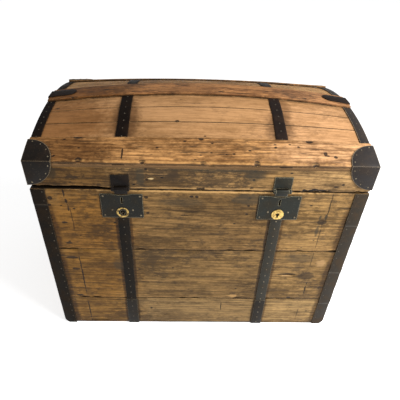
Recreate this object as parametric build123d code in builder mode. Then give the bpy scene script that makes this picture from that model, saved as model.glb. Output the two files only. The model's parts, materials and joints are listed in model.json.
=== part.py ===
from build123d import *
import os
from math import cos, pi, sin, sqrt

# Dome-top travel trunk. Millimetres, +Z up, front towards -Y.
# The origin is on the floor, under the middle of the trunk.

# Carcase
body_width = 960
body_depth = 632
body_height = 598
wall = 20
low_seam = 138
high_seam = 369
seam_gap = 0.6
edge_wear = 1.2
floor_thickness = 18
floor_board_count = 4
post_size = 40
rim_setback = 24
batten_inset = 98
batten_width = 56
batten_thickness = 18

# Straps and corner irons
iron = 2
foot_iron = 3
strap_x = 228
strap_width = 34
foot_strap_widening = 3
lap_height = 132
corner_flange = 39
corner_bend = 3
rim_relief = 3

# Lid
lid_gap = 0.5
seat_gap = 0.2
dome_rise = 135
dome_radius = 905
lid_crown = 35
stave_thickness = 14
staves_per_side = 3
slat_thickness = 6
edge_slat_width = 87
ridge_slat_width = 90
ridge_slat_lead = 35
lid_end_thickness = 20
rib_width = 30
rib_height = 22
left_warp = 7
left_warp_length = 255
left_warp_fade = 90
right_warp = 3
right_warp_length = 170
edge_iron_width = 25
edge_iron_drop = 30
cap_radius = 75
cap_overreach = 6
ridge_cap_length = 84
ridge_cap_width = 50
ridge_cap_drop = 42

# Locks
plate_width = 121
plate_height = 84
plate_rim_margin = 14
plate_dip = 5
plate_dip_width = 58
slot_width = 5
slot_height = 21
slot_top_margin = 12
keyhole_rise = 19
keyhole_radius = 7
keyhole_tail = 11
keyhole_tail_width = 6
escutcheon_radius = 18.2
escutcheon_rim = 9.5
escutcheon_thickness = 1.6
drill_pin_radius = 2
lock_sheet = 1.6
lock_width = 92
lock_height = 76
lock_depth = 16
bolt_length = 36
bolt_height = 10
bolt_thickness = 5
bolt_setback = 1.5
bolt_play = 0.3
bolt_throw = 9
guide_width = 4

# Hinges and hasps
barrel_radius = 6
barrel_standoff = 0.3
hinge_pin_radius = 2.5
pin_play = 0.06
knuckle_gap = 0.4
hinge_width = 34
hinge_knuckle_share = 3
hinge_leaf_down = 110
hinge_leaf_up = 56
hasp_axis_rise = 5
hasp_plate_width = 51
hasp_plate_height = 36
hasp_plate_clearance = 2
hasp_tongue_width = 37
hasp_tongue_drop = 19
hasp_tongue_standoff = 0.8

# Drop handles on the ends
handle_height = 420
handle_span = 104
handle_drop = 52
handle_rod = 4.5
handle_bend = 9
lug_radius = 9
lug_length = 10
lug_plate_width = 30
lug_plate_height = 46
handle_standoff = 10

# Nails
nail_radius = 3
nail_height = 1.3
nail_pitch = 30
nail_margin = 8
rivet_reach = 30
cap_rim_nail_count = 4
cap_rim_end = 1 / 8

# Points that shape the curved layers: along the lid, and across wide and narrow ones
long_station_count = 5
wide_point_count = 13
narrow_point_count = 3

half_width = body_width / 2
half_depth = body_depth / 2
lid_floor = body_height + lid_gap
dome_apex = body_height + dome_rise
corner_iron_height = body_height - rim_relief
plate_top = body_height - plate_rim_margin
plate_bottom = plate_top - plate_height
keyhole_height = plate_bottom + keyhole_rise
hasp_axis_height = body_height + hasp_axis_rise
batten_x = half_width - batten_inset
barrel_offset = barrel_radius + barrel_standoff
slat_end = half_width + iron
strap_lift = seat_gap
slat_lift = strap_lift + iron + seat_gap
slat_top = slat_lift + slat_thickness
cap_lift = slat_top + seat_gap
hinge_axis_y = half_depth + barrel_offset
hasp_axis_y = -half_depth - barrel_offset
pin_bore = hinge_pin_radius + pin_play
sides = {"left": -1, "right": 1}
rows = {"front": -1, "back": 1}
courses = {
    "lower": (foot_iron, low_seam),
    "middle": (low_seam, high_seam),
    "upper": (high_seam, body_height),
}

os.makedirs("parts", exist_ok=True)


def save(piece, label):
    """Name a finished piece and write its file."""
    piece.part.label = label
    export_step(piece.part, f"parts/{label}.step")


def dome(x, y, lift=0):
    """Height of the staves' outer face, which curves across and swells along, more behind."""
    arc = dome_apex - dome_radius + sqrt(dome_radius**2 - y**2)
    along = 1 - (x / half_width) ** 2
    across = 1 - (y / half_depth) ** 2
    swell = across if y > 0 else across**2
    return arc + lid_crown * along * swell + lift


def spread(first, last, count):
    """Evenly spaced values from first to last."""
    return [first + (last - first) * step / (count - 1) for step in range(count)]


def lid_section(x, y_range, lifts, points):
    """One cross-section of a layer of the lid, on the plane at x."""
    under, over = lifts
    ys = spread(*y_range, points)
    with BuildSketch(Plane.YZ.offset(x)) as section:
        with BuildLine():
            bottom = Spline(*[(y, dome(x, y, under)) for y in ys])
            top = Spline(*[(y, dome(x, y, over)) for y in ys])
            Line(bottom @ 0, top @ 0)
            Line(bottom @ 1, top @ 1)
        make_face()
    return section.sketch


def lid_layer(x_range, stations, y_range, lifts, points=narrow_point_count):
    """A board or strap that follows the dome between two lifts from the staves' face."""
    xs = spread(*sorted(x_range), stations)
    with BuildPart() as layer:
        loft([lid_section(x, y_range, lifts, points) for x in xs])
    return layer.part


def nail_heads(label, seats):
    """Low round heads, one on each plane."""
    with BuildPart() as heads:
        with Locations(*seats):
            Cone(nail_radius, nail_radius / 2, nail_height,
                 align=(Align.CENTER, Align.CENTER, Align.MIN))
    save(heads, label)


def front_seat(x, z, lift=iron):
    """A plane on the trunk's front, facing out."""
    return Plane((x, -half_depth - lift, z), x_dir=(1, 0, 0), z_dir=(0, -1, 0))


def back_seat(x, z, lift=iron):
    """A plane on the trunk's back, facing out."""
    return Plane((x, half_depth + lift, z), x_dir=(-1, 0, 0), z_dir=(0, 1, 0))


def end_seat(side, y, z, lift=iron):
    """A plane on one end of the trunk, facing out."""
    return Plane((side * (half_width + lift), y, z), x_dir=(0, side, 0), z_dir=(side, 0, 0))


def dome_seat(x, y, lift):
    """A plane on the dome, square to it."""
    step = 1
    along = Vector(2 * step, 0, dome(x + step, y) - dome(x - step, y))
    across = Vector(0, 2 * step, dome(x, y + step) - dome(x, y - step))
    return Plane((x, y, dome(x, y, lift)), x_dir=along, z_dir=along.cross(across))


def keyhole(radius, tail, tail_width, height):
    """A keyhole's outline in a sketch, with its round part at the given height."""
    for side in sides.values():
        with Locations((side * strap_x, height)):
            Circle(radius)
        with Locations((side * strap_x, height - tail / 2)):
            Rectangle(tail_width, tail)


def staple_slots():
    """The tall slots for the hasps' staples, in a sketch."""
    for side in sides.values():
        with Locations((side * strap_x, plate_top - slot_top_margin - slot_height / 2)):
            Rectangle(slot_width, slot_height)


def wall_board(centre, length, thickness, course, outward):
    """One board of a wall: its outer face has worn long edges."""
    bottom, top = courses[course]
    with BuildPart() as board:
        with BuildSketch(Plane.XY.offset(bottom)):
            with Locations(centre):
                Rectangle(length, thickness)
        extrude(amount=top - bottom - seam_gap)
        face = board.faces().sort_by(Axis((0, 0, 0), outward))[-1]
        worn_edges = face.edges().filter_by(Axis.Z, reverse=True)
        chamfer(worn_edges, length=edge_wear)
    return board.part


# Front boards, the upper one cut for the locks
for course in courses:
    with BuildPart() as front_board:
        add(wall_board((0, wall / 2 - half_depth), body_width, wall, course, (0, -1, 0)))
        if course == "upper":
            with BuildSketch(Plane.XZ.offset(half_depth)):
                keyhole(keyhole_radius, keyhole_tail, keyhole_tail_width, keyhole_height)
                staple_slots()
            extrude(amount=-wall, mode=Mode.SUBTRACT)
    save(front_board, f"front_board_{course}")

# Back boards
with BuildPart() as back_boards:
    for course in courses:
        add(wall_board((0, half_depth - wall / 2), body_width, wall, course, (0, 1, 0)))
save(back_boards, "back_boards")

# End boards, between the front and back boards
end_length = body_depth - 2 * wall - seam_gap
for side_name, side in sides.items():
    with BuildPart() as end_boards:
        for course in courses:
            centre = (side * (half_width - wall / 2), 0)
            add(wall_board(centre, wall, end_length, course, (side, 0, 0)))
    save(end_boards, f"end_boards_{side_name}")

# Floor boards inside the walls
inner_width = body_width - 2 * wall - seam_gap
floor_board_width = end_length / floor_board_count
with BuildPart() as floor_boards:
    with BuildSketch(Plane.XY.offset(foot_iron)):
        with GridLocations(0, floor_board_width, 1, floor_board_count):
            Rectangle(inner_width, floor_board_width - seam_gap)
    extrude(amount=floor_thickness)
save(floor_boards, "floor_boards")

# Posts in the corners and battens behind the front and back
inside_floor = foot_iron + floor_thickness
post_height = body_height - rim_setback - inside_floor
post_x = half_width - wall - post_size / 2
post_y = half_depth - wall - post_size / 2
with BuildPart() as corner_posts:
    with BuildSketch(Plane.XY.offset(inside_floor)):
        with GridLocations(2 * post_x, 2 * post_y, 2, 2):
            Rectangle(post_size, post_size)
    extrude(amount=post_height)
save(corner_posts, "corner_posts")

batten_y = half_depth - wall - batten_thickness / 2
with BuildPart() as wall_battens:
    with BuildSketch(Plane.XY.offset(inside_floor)):
        with GridLocations(2 * batten_x, 2 * batten_y, 2, 2):
            Rectangle(batten_width, batten_thickness)
    extrude(amount=post_height)
save(wall_battens, "wall_battens")


def corner_iron(side, row):
    """An angle iron folded round one upright edge of the trunk."""
    outer_x = side * (half_width + iron)
    outer_y = row * (half_depth + iron)
    inner_x = side * half_width
    inner_y = row * half_depth
    flange_x = side * (half_width - corner_flange)
    flange_y = row * (half_depth - corner_flange)
    with BuildPart() as angle:
        with BuildSketch():
            with BuildLine():
                Polyline((outer_x, outer_y), (outer_x, flange_y), (inner_x, flange_y),
                         (inner_x, inner_y), (flange_x, inner_y), (flange_x, outer_y),
                         close=True)
            make_face()
        extrude(amount=corner_iron_height)
        uprights = angle.edges().filter_by(Axis.Z)
        bend = uprights.sort_by_distance((outer_x, outer_y, corner_iron_height / 2))[0]
        fillet(bend, radius=corner_bend)
    return angle.part


# Corner irons round the four upright edges
for side_name, side in sides.items():
    with BuildPart() as front_corner:
        add(corner_iron(side, rows["front"]))
    save(front_corner, f"corner_iron_{side_name}")

with BuildPart() as back_corners:
    for side in sides.values():
        add(corner_iron(side, rows["back"]))
save(back_corners, "corner_irons_back")

# Straps up the front, under each lock, and up the back, under each hinge
hinge_leaf_bottom = body_height - hinge_leaf_down
for side_name, side in sides.items():
    with BuildPart() as front_strap:
        with BuildSketch(Plane.XZ.offset(half_depth)):
            with Locations((side * strap_x, (lap_height + plate_bottom) / 2)):
                Rectangle(strap_width, plate_bottom - lap_height)
        extrude(amount=iron)
    save(front_strap, f"front_strap_{side_name}")

with BuildPart() as back_straps:
    with BuildSketch(Plane.XZ.offset(-half_depth)):
        with Locations((0, (lap_height + hinge_leaf_bottom) / 2)):
            with GridLocations(2 * strap_x, 0, 2, 1):
                Rectangle(strap_width, hinge_leaf_bottom - lap_height)
    extrude(amount=-iron)
save(back_straps, "back_straps")

# Straps that run under the trunk and carry it
for side_name, side in sides.items():
    foot_width = strap_width + foot_strap_widening
    foot_outer = half_depth + foot_iron
    with BuildPart() as foot_strap:
        with BuildSketch(Plane.YZ.offset(side * strap_x - foot_width / 2)):
            with BuildLine():
                Polyline((-foot_outer, lap_height), (-foot_outer, 0), (foot_outer, 0),
                         (foot_outer, lap_height), (half_depth, lap_height),
                         (half_depth, foot_iron), (-half_depth, foot_iron),
                         (-half_depth, lap_height), close=True)
            make_face()
        extrude(amount=foot_width)
        turned_edges = foot_strap.edges().filter_by(Axis.X).group_by(Axis.Z)[0]
        fillet(turned_edges, radius=foot_iron)
    save(foot_strap, f"foot_strap_{side_name}")

# Lock plates, with their dipped top edge, slot and keyhole
for side_name, side in sides.items():
    centre = side * strap_x
    with BuildPart() as lock_plate:
        with BuildSketch(Plane.XZ.offset(half_depth)):
            with BuildLine():
                plate_left = centre - plate_width / 2
                plate_right = centre + plate_width / 2
                dip_left = centre - plate_dip_width / 2
                dip_right = centre + plate_dip_width / 2
                Polyline((dip_left, plate_top), (plate_left, plate_top),
                         (plate_left, plate_bottom), (plate_right, plate_bottom),
                         (plate_right, plate_top), (dip_right, plate_top))
                ThreePointArc((dip_left, plate_top), (centre, plate_top - plate_dip),
                              (dip_right, plate_top))
            make_face()
        extrude(amount=iron)
        with BuildSketch(Plane.XZ.offset(half_depth)):
            keyhole(keyhole_radius, keyhole_tail, keyhole_tail_width, keyhole_height)
            staple_slots()
        extrude(amount=iron, mode=Mode.SUBTRACT)
    save(lock_plate, f"lock_plate_{side_name}")

# Brass rings round the keyholes
with BuildPart() as escutcheons:
    with BuildSketch(Plane.XZ.offset(half_depth + iron)):
        with Locations((0, keyhole_height)):
            with GridLocations(2 * strap_x, 0, 2, 1):
                Circle(escutcheon_radius)
                Circle(escutcheon_rim, mode=Mode.SUBTRACT)
    extrude(amount=escutcheon_thickness)
    outer_edges = escutcheons.edges().filter_by(GeomType.CIRCLE).group_by(Axis.Y)[0]
    chamfer(outer_edges, length=escutcheon_thickness / 2)
save(escutcheons, "escutcheons")

# Lock cases behind the front, each with its drill pin and the guides of its bolt
lock_back = -half_depth + wall + lock_depth
bolt_front = -half_depth + wall + bolt_setback
bolt_z = plate_top - slot_top_margin - slot_height / 2
bolt_tip = slot_width / 2 + bolt_setback
lock_centre_z = plate_bottom + plate_height / 2
for side_name, side in sides.items():
    centre = side * strap_x
    guide_outer = centre - bolt_tip - bolt_length + bolt_throw + guide_width
    guide_inner = centre - bolt_tip - 2 * guide_width
    with BuildPart() as lock_case:
        with BuildSketch(Plane.XZ.offset(-lock_back)):
            with Locations((centre, lock_centre_z)):
                Rectangle(lock_width, lock_height)
        extrude(amount=lock_depth)
        with BuildSketch(Plane.XZ.offset(-lock_back + lock_sheet)):
            with Locations((centre, lock_centre_z)):
                Rectangle(lock_width - 2 * lock_sheet, lock_height - 2 * lock_sheet)
        extrude(amount=lock_depth - lock_sheet, mode=Mode.SUBTRACT)
        with BuildSketch(Plane.XZ.offset(-lock_back)):
            with Locations((guide_outer, bolt_z), (guide_inner, bolt_z)):
                Rectangle(guide_width, 2 * bolt_height)
        extrude(amount=lock_depth)
        bolt_middle = bolt_front + bolt_thickness / 2
        with Locations((centre - bolt_tip - bolt_length / 2, bolt_middle, bolt_z)):
            Box(bolt_length + 2 * guide_width, bolt_thickness + 2 * bolt_play,
                bolt_height + 2 * bolt_play, mode=Mode.SUBTRACT)
        with BuildSketch(Plane.XZ.offset(-lock_back)):
            with Locations((centre, keyhole_height)):
                Circle(drill_pin_radius)
        extrude(amount=lock_back + half_depth + iron)
    save(lock_case, f"lock_case_{side_name}")

    with BuildPart() as lock_bolt:
        with Locations((centre - bolt_tip - bolt_length / 2, bolt_middle, bolt_z)):
            Box(bolt_length, bolt_thickness, bolt_height)
    save(lock_bolt, f"lock_bolt_{side_name}")

# Strap hinges at the back: body leaf with the middle knuckle, lid leaf with the outer two
knuckle = hinge_width / hinge_knuckle_share
for side_name, side in sides.items():
    centre = side * strap_x
    with BuildPart() as hinge_body_leaf:
        with BuildSketch(Plane.XZ.offset(-half_depth)):
            with Locations((centre, body_height - (hinge_leaf_down + barrel_offset) / 2)):
                Rectangle(hinge_width, hinge_leaf_down - barrel_offset)
            with Locations((centre, body_height - barrel_offset / 2)):
                Rectangle(knuckle - knuckle_gap, barrel_offset)
        extrude(amount=-iron)
        with BuildSketch(Plane.YZ.offset(centre - (knuckle - knuckle_gap) / 2)):
            with Locations((hinge_axis_y, body_height)):
                Circle(barrel_radius)
        extrude(amount=knuckle - knuckle_gap)
        with BuildSketch(Plane.YZ.offset(centre - hinge_width / 2)):
            with Locations((hinge_axis_y, body_height)):
                Circle(pin_bore)
        extrude(amount=hinge_width, mode=Mode.SUBTRACT)
    save(hinge_body_leaf, f"hinge_body_leaf_{side_name}")

    with BuildPart() as hinge_lid_leaf:
        with BuildSketch(Plane.XZ.offset(-half_depth)):
            with Locations((centre, lid_floor + hinge_leaf_up / 2)):
                Rectangle(hinge_width, hinge_leaf_up)
        extrude(amount=-iron)
        with BuildSketch(Plane.YZ.offset(centre - hinge_width / 2)):
            with Locations((hinge_axis_y, body_height)):
                Circle(barrel_radius)
        extrude(amount=hinge_width)
        with Locations((centre, hinge_axis_y, body_height)):
            Box(knuckle + knuckle_gap, 2 * barrel_offset, 2 * barrel_offset,
                mode=Mode.SUBTRACT)
        with BuildSketch(Plane.YZ.offset(centre - hinge_width / 2)):
            with Locations((hinge_axis_y, body_height)):
                Circle(pin_bore)
        extrude(amount=hinge_width, mode=Mode.SUBTRACT)
    save(hinge_lid_leaf, f"hinge_lid_leaf_{side_name}")

with BuildPart() as hinge_pins:
    for side in sides.values():
        with BuildSketch(Plane.YZ.offset(side * strap_x - hinge_width / 2)):
            with Locations((hinge_axis_y, body_height)):
                Circle(hinge_pin_radius)
        extrude(amount=hinge_width)
save(hinge_pins, "hinge_pins")

# Drop handles: lugs on the ends and bails that swing in them
lug_y = handle_span / 2 + handle_bend + lug_length / 2
handle_axis_x = half_width + handle_standoff
bail_end = lug_y + lug_length / 2
with BuildPart() as handle_lugs:
    for side in sides.values():
        with BuildSketch(Plane.YZ.offset(side * half_width)):
            with Locations((0, handle_height)):
                with GridLocations(2 * lug_y, 0, 2, 1):
                    Rectangle(lug_plate_width, lug_plate_height)
        extrude(amount=side * iron)
        for row in rows.values():
            with BuildSketch(Plane.XZ.offset(-row * lug_y - lug_length / 2)):
                with Locations((side * handle_axis_x, handle_height)):
                    Circle(lug_radius)
                with Locations((side * (half_width + handle_standoff / 2), handle_height)):
                    Rectangle(handle_standoff, 2 * lug_radius)
            extrude(amount=lug_length)
        with Locations((side * handle_axis_x, 0, handle_height)):
            Cylinder(handle_rod + pin_play, 2 * bail_end, rotation=(90, 0, 0),
                     mode=Mode.SUBTRACT)
save(handle_lugs, "handle_lugs")

for side_name, side in sides.items():
    with BuildPart() as handle_bail:
        with BuildLine(Plane.YZ.offset(side * handle_axis_x)) as bail_path:
            FilletPolyline((-bail_end, handle_height), (-handle_span / 2, handle_height),
                           (-handle_span / 2, handle_height - handle_drop),
                           (handle_span / 2, handle_height - handle_drop),
                           (handle_span / 2, handle_height), (bail_end, handle_height),
                           radius=handle_bend)
        start = Plane(bail_path.line @ 0, z_dir=bail_path.line % 0)
        with BuildSketch(start):
            Circle(handle_rod)
        sweep(path=bail_path.line)
    save(handle_bail, f"handle_bail_{side_name}")

# Lid rails along the front and back, under the staves
stave_seat = -stave_thickness - seat_gap
left_warp_end = left_warp_length - half_width
for row_name, row in rows.items():
    outer_y = row * half_depth
    inner_y = row * (half_depth - wall)
    with BuildPart() as lid_rail:
        with BuildSketch(Plane.YZ.offset(-half_width)):
            with BuildLine():
                Polyline((outer_y, lid_floor), (inner_y, lid_floor),
                         (inner_y, dome(half_width, inner_y, stave_seat)),
                         (outer_y, dome(half_width, outer_y, stave_seat)), close=True)
            make_face()
        extrude(amount=body_width)
        if row_name == "front":
            with BuildSketch(Plane.XZ.offset(half_depth)):
                with BuildLine():
                    Polyline((-half_width, lid_floor), (-half_width, lid_floor + left_warp),
                             (left_warp_end - left_warp_fade, lid_floor + left_warp),
                             (left_warp_end, lid_floor), close=True)
                make_face()
                with BuildLine():
                    Polyline((half_width, lid_floor), (half_width, lid_floor + right_warp),
                             (half_width - right_warp_length, lid_floor), close=True)
                make_face()
            extrude(amount=-wall, mode=Mode.SUBTRACT)
    save(lid_rail, f"lid_rail_{row_name}")

# Arched end boards of the lid, between the rails
for side_name, side in sides.items():
    with BuildPart() as lid_end:
        shoulder = half_depth - wall - seam_gap / 2
        under_staves = dome(half_width, shoulder, stave_seat)
        crest = dome(half_width, 0, stave_seat)
        with BuildSketch(Plane.YZ.offset(side * half_width)):
            with BuildLine():
                Polyline((-shoulder, under_staves), (-shoulder, lid_floor),
                         (shoulder, lid_floor), (shoulder, under_staves))
                ThreePointArc((-shoulder, under_staves), (0, crest), (shoulder, under_staves))
            make_face()
        extrude(amount=-side * lid_end_thickness)
    save(lid_end, f"lid_end_board_{side_name}")

# Bowed ribs under the staves, behind the cross straps
rib_reach = half_depth - wall - seam_gap
with BuildPart() as lid_ribs:
    for side in sides.values():
        rib_span = (side * strap_x - rib_width / 2, side * strap_x + rib_width / 2)
        rib_lifts = (stave_seat - rib_height, stave_seat)
        add(lid_layer(rib_span, 2, (-rib_reach, rib_reach), rib_lifts, wide_point_count))
save(lid_ribs, "lid_ribs")

# Staves: one under each slat, and the open ones between the slats
slat_edge = half_depth - edge_slat_width
ridge_back = ridge_slat_width - ridge_slat_lead
front_lines = [-half_depth] + spread(-slat_edge, -ridge_slat_lead, staves_per_side + 1)
back_lines = spread(ridge_back, slat_edge, staves_per_side + 1) + [half_depth]
stave_groups = {
    "lid_staves_front": front_lines,
    "lid_stave_ridge": [-ridge_slat_lead, ridge_back],
    "lid_staves_back": back_lines,
}
for label, lines in stave_groups.items():
    with BuildPart() as staves:
        for near, far in zip(lines, lines[1:]):
            near_edge = max(near + seam_gap / 2, -half_depth)
            far_edge = min(far - seam_gap / 2, half_depth)
            add(lid_layer((-half_width, half_width), long_station_count,
                          (near_edge, far_edge), (-stave_thickness, 0)))
    save(staves, label)

# Cross straps and end irons, on the staves and under the slats
strap_lifts = (strap_lift, strap_lift + iron)
full_depth = (-half_depth, half_depth)
for side_name, side in sides.items():
    strap_span = (side * strap_x - strap_width / 2, side * strap_x + strap_width / 2)
    with BuildPart() as cross_strap:
        add(lid_layer(strap_span, 2, full_depth, strap_lifts, wide_point_count))
    save(cross_strap, f"lid_strap_{side_name}")

    iron_span = (side * (half_width - edge_iron_width), side * slat_end)
    with BuildPart() as edge_iron:
        add(lid_layer(iron_span, 3, full_depth, strap_lifts, wide_point_count))
        with BuildSketch(Plane.YZ.offset(side * half_width)):
            ys = spread(*full_depth, wide_point_count)
            with BuildLine():
                lower = Spline(*[(y, dome(half_width, y, -edge_iron_drop)) for y in ys])
                upper = Spline(*[(y, dome(half_width, y, strap_lift + iron / 2)) for y in ys])
                Line(lower @ 0, upper @ 0)
                Line(lower @ 1, upper @ 1)
            make_face()
        extrude(amount=side * iron)
    save(edge_iron, f"lid_edge_iron_{side_name}")

# Slats over the straps
slat_ranges = {
    "front": (-half_depth, -slat_edge),
    "ridge": (-ridge_slat_lead, ridge_back),
    "back": (slat_edge, half_depth),
}
for slat_name, slat_range in slat_ranges.items():
    with BuildPart() as slat:
        add(lid_layer((-slat_end, slat_end), long_station_count, slat_range,
                      (slat_lift, slat_top)))
    save(slat, f"lid_slat_{slat_name}")

# Corner caps, each folded over the slat, the rail and the end
arris = dome(half_width, half_depth, cap_lift)
cap_lifts = (cap_lift, cap_lift + iron)
cap_corners = {"front_left": (-1, -1), "front_right": (1, -1), "back_left": (-1, 1)}
for corner_name, (side, row) in cap_corners.items():
    end_x = side * slat_end
    outer_x = side * (slat_end + iron)
    corner_y = row * half_depth
    outer_y = row * (half_depth + iron)
    reach_x = end_x - side * (cap_radius + cap_overreach)
    cap_x = sorted((outer_x, reach_x))
    cap_y = sorted((outer_y, row * slat_edge))
    with BuildPart() as corner_cap:
        add(lid_layer(cap_x, 3, cap_y, cap_lifts))
        with BuildSketch(Plane.XY.offset(arris - cap_radius)):
            with Locations((end_x, corner_y)):
                Circle(cap_radius)
        extrude(amount=2 * cap_radius, mode=Mode.INTERSECT)
        with BuildSketch(Plane.XZ.offset(-corner_y)):
            with Locations((end_x, arris)):
                Circle(cap_radius)
            with BuildLine():
                Polyline((outer_x, arris + iron / 2), (reach_x, arris + iron / 2),
                         (reach_x, arris - cap_radius), (outer_x, arris - cap_radius),
                         close=True)
            make_face(mode=Mode.INTERSECT)
        extrude(amount=-row * iron)
        with BuildSketch(Plane.YZ.offset(end_x)):
            with Locations((corner_y, arris)):
                Circle(cap_radius)
            with BuildLine():
                ys = spread(*cap_y, narrow_point_count)
                fold = Spline(*[(y, dome(half_width, y, cap_lift + iron / 2)) for y in ys])
                Polyline(fold @ 0, (cap_y[0], arris - cap_radius),
                         (cap_y[1], arris - cap_radius), fold @ 1)
            make_face(mode=Mode.INTERSECT)
        extrude(amount=side * iron)
    save(corner_cap, f"corner_cap_{corner_name}")

# Tongue-shaped caps on the ends of the ridge slat
half_cap = ridge_cap_width / 2
ridge_middle = (ridge_back - ridge_slat_lead) / 2
with BuildPart() as ridge_caps:
    for side in sides.values():
        end_x = side * slat_end
        outer_x = side * (slat_end + iron)
        round_x = end_x - side * (ridge_cap_length - half_cap)
        with BuildSketch(Plane.XY.offset(dome_apex)):
            with Locations((round_x, ridge_middle)):
                Circle(half_cap)
            with Locations(((round_x + outer_x) / 2, ridge_middle)):
                Rectangle(abs(outer_x - round_x), ridge_cap_width)
        tongue = extrude(amount=2 * lid_crown, mode=Mode.PRIVATE)
        cap_x = sorted((outer_x, end_x - side * (ridge_cap_length + cap_overreach)))
        cap_y = (ridge_middle - half_cap - cap_overreach, ridge_middle + half_cap + cap_overreach)
        sheet = lid_layer(cap_x, 3, cap_y, cap_lifts)
        add(sheet & tongue)
        with BuildSketch(Plane.YZ.offset(end_x)):
            crest = dome(half_width, ridge_middle, cap_lift + iron / 2)
            with Locations((ridge_middle, crest - ridge_cap_drop / 2)):
                Rectangle(ridge_cap_width, ridge_cap_drop)
        extrude(amount=side * iron)
save(ridge_caps, "ridge_caps")

# Hasp plates and their outer knuckles on the lid, with the pins
fixed_knuckle = (hasp_plate_width - hasp_tongue_width) / 2 - knuckle_gap / 2
hasp_plate_bottom = hasp_axis_height + barrel_radius + hasp_plate_clearance
for side_name, side in sides.items():
    centre = side * strap_x
    knuckle_x = hasp_tongue_width / 2 + knuckle_gap / 2 + fixed_knuckle / 2
    with BuildPart() as hasp_plate:
        with BuildSketch(Plane.XZ.offset(half_depth)):
            with Locations((centre, hasp_plate_bottom + hasp_plate_height / 2)):
                Rectangle(hasp_plate_width, hasp_plate_height)
            with Locations((centre, (hasp_axis_height + hasp_plate_bottom) / 2)):
                with GridLocations(2 * knuckle_x, 0, 2, 1):
                    Rectangle(fixed_knuckle, hasp_plate_bottom - hasp_axis_height)
        extrude(amount=iron)
        for hand in sides.values():
            with BuildSketch(Plane.YZ.offset(centre + hand * knuckle_x - fixed_knuckle / 2)):
                with Locations((hasp_axis_y, hasp_axis_height)):
                    Circle(barrel_radius)
            extrude(amount=fixed_knuckle)
        with BuildSketch(Plane.YZ.offset(centre - hasp_plate_width / 2)):
            with Locations((hasp_axis_y, hasp_axis_height)):
                Circle(pin_bore)
        extrude(amount=hasp_plate_width, mode=Mode.SUBTRACT)
    save(hasp_plate, f"hasp_plate_{side_name}")

    tongue_back = -half_depth - hasp_tongue_standoff
    with BuildPart() as hasp:
        with BuildSketch(Plane.XZ.offset(-tongue_back)):
            with Locations((centre, hasp_axis_height - hasp_tongue_drop / 2)):
                Rectangle(hasp_tongue_width - knuckle_gap, hasp_tongue_drop)
        extrude(amount=iron)
        with BuildSketch(Plane.YZ.offset(centre - (hasp_tongue_width - knuckle_gap) / 2)):
            with Locations((hasp_axis_y, hasp_axis_height)):
                Circle(barrel_radius)
        extrude(amount=hasp_tongue_width - knuckle_gap)
        with BuildSketch(Plane.YZ.offset(centre - hasp_plate_width / 2)):
            with Locations((hasp_axis_y, hasp_axis_height)):
                Circle(pin_bore)
        extrude(amount=hasp_plate_width, mode=Mode.SUBTRACT)
    save(hasp, f"hasp_{side_name}")

with BuildPart() as hasp_pins:
    for side in sides.values():
        with BuildSketch(Plane.YZ.offset(side * strap_x - hasp_plate_width / 2)):
            with Locations((hasp_axis_y, hasp_axis_height)):
                Circle(hinge_pin_radius)
        extrude(amount=hasp_plate_width)
save(hasp_pins, "hasp_pins")


def nail_row(low, high):
    """Evenly spaced places between two limits, a nail pitch or so apart."""
    count = 1 + round((high - low - 2 * nail_margin) / nail_pitch)
    return spread(low + nail_margin, high - nail_margin, max(count, 2))


# Nails in the straps and corner irons of the body
body_seats = []
for side in sides.values():
    for z in nail_row(lap_height, plate_bottom):
        body_seats.append(front_seat(side * strap_x, z))
    for z in nail_row(lap_height, body_height - barrel_offset):
        body_seats.append(back_seat(side * strap_x, z))
    for z in nail_row(foot_iron, lap_height):
        body_seats.append(front_seat(side * strap_x, z, foot_iron))
        body_seats.append(back_seat(side * strap_x, z, foot_iron))
    nail_x = side * (half_width - corner_flange + nail_margin)
    nail_y = half_depth - corner_flange + nail_margin
    for z in nail_row(0, corner_iron_height):
        body_seats.append(front_seat(nail_x, z))
        body_seats.append(back_seat(nail_x, z))
        body_seats.append(end_seat(side, nail_y, z))
        body_seats.append(end_seat(side, -nail_y, z))
nail_heads("body_nails", body_seats)

# Nails and rivets in the lock plates
lock_seats = []
for side in sides.values():
    for hand in sides.values():
        nail_x = side * strap_x + hand * (plate_width / 2 - nail_margin)
        rivet_x = side * strap_x + hand * rivet_reach
        lock_seats.append(front_seat(nail_x, plate_bottom + nail_margin))
        lock_seats.append(front_seat(nail_x, plate_top - nail_margin))
        lock_seats.append(front_seat(rivet_x, keyhole_height + nail_margin))
nail_heads("lock_plate_nails", lock_seats)

# Nails in the lid's straps, end irons and corner caps
lid_seats = []
for side in sides.values():
    edge_x = side * (half_width - edge_iron_width / 2)
    front_row = [-y for y in nail_row(ridge_slat_lead, slat_edge)]
    for y in front_row + nail_row(ridge_back, slat_edge):
        lid_seats.append(dome_seat(side * strap_x, y, strap_lift + iron))
        lid_seats.append(dome_seat(edge_x, y, strap_lift + iron))
rim = cap_radius - nail_margin
for side, row in cap_corners.values():
    cap_seat = front_seat if row < 0 else back_seat
    for share in spread(cap_rim_end, 1 - cap_rim_end, cap_rim_nail_count):
        rim_x = side * (slat_end - rim * cos(share * pi / 2))
        rim_y = row * (half_depth - rim * cos(share * pi / 2))
        rim_z = arris - rim * sin(share * pi / 2)
        lid_seats.append(cap_seat(rim_x, rim_z))
        lid_seats.append(end_seat(side, rim_y, rim_z, 2 * iron))
        slat_y = row * (half_depth - rim * sin(share * pi / 2))
        lid_seats.append(dome_seat(rim_x, slat_y, cap_lift + iron + seat_gap))
nail_heads("lid_nails", lid_seats)
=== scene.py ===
import json
from contextlib import contextmanager
from math import pi, radians
from random import Random

import bpy
import numpy as np
from mathutils import Matrix, Vector


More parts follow.
